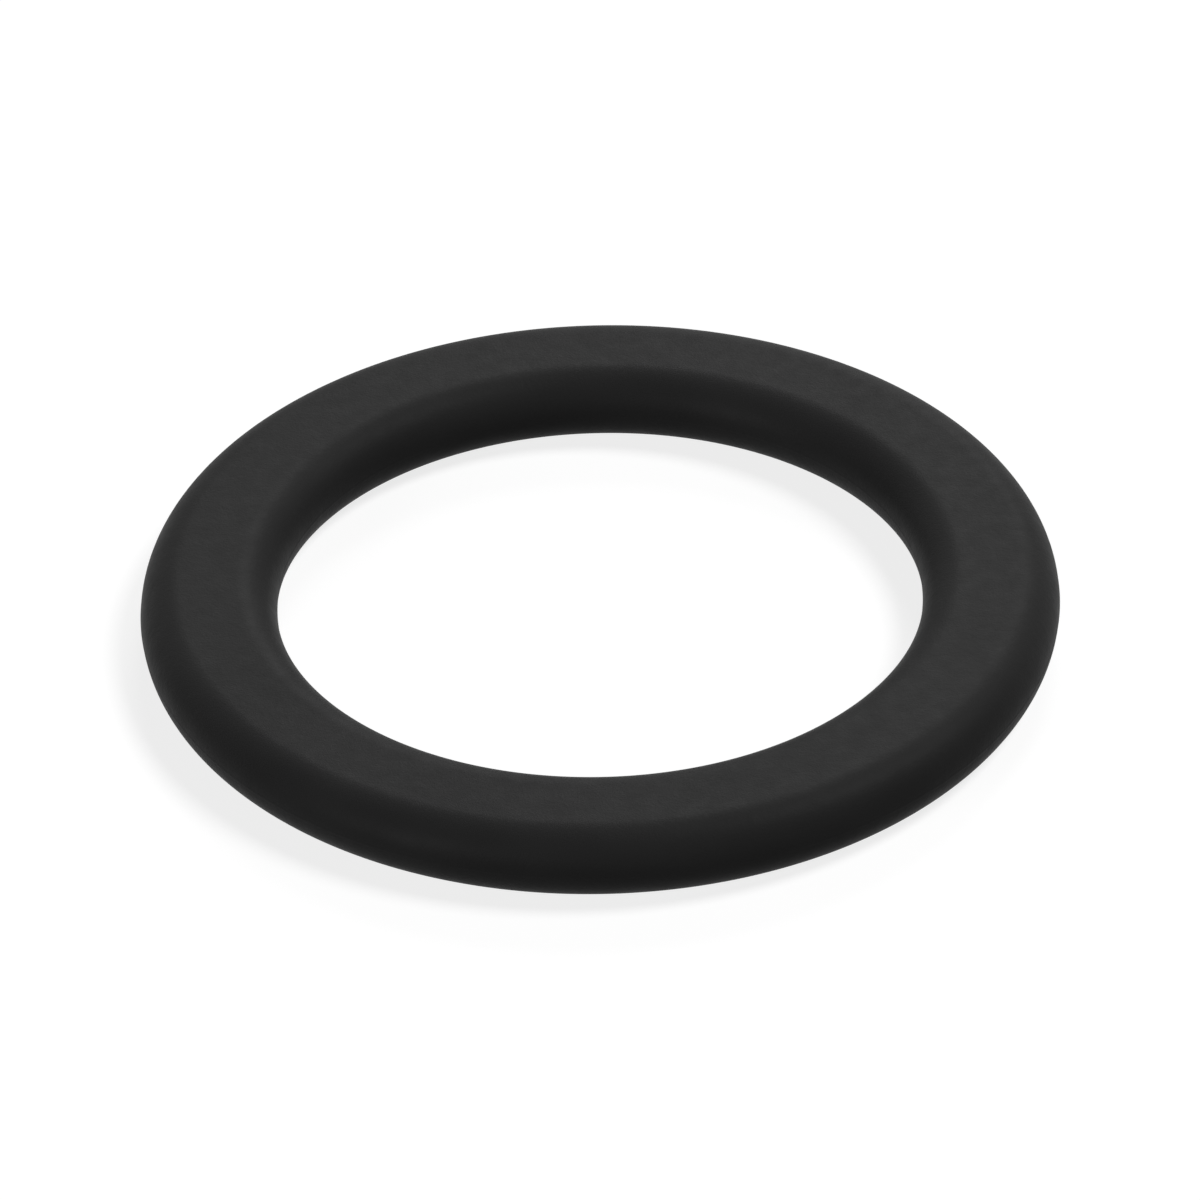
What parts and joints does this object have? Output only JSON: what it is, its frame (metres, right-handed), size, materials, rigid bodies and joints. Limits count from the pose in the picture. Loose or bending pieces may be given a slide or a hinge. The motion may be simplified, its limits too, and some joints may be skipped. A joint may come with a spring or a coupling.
{
  "type": "o-ring",
  "caption": "Round black rubber sealing ring with a low, wide section: flat faces above and below, joined by full-round inner and outer edges.",
  "frame": {"origin": "centre of the ring, on its axis and midway between its two flat faces", "axes": "+Z along the ring's axis, square to the flat faces; X and Y lie in the ring's mid-plane and are alike"},
  "size_m": [0.035, 0.035, 0.003],
  "materials": {
    "nitrile_rubber": "satin matt, as moulded"
  },
  "bodies": {
    "root": {"o_ring": "nitrile_rubber"}
  },
  "joints": []
}
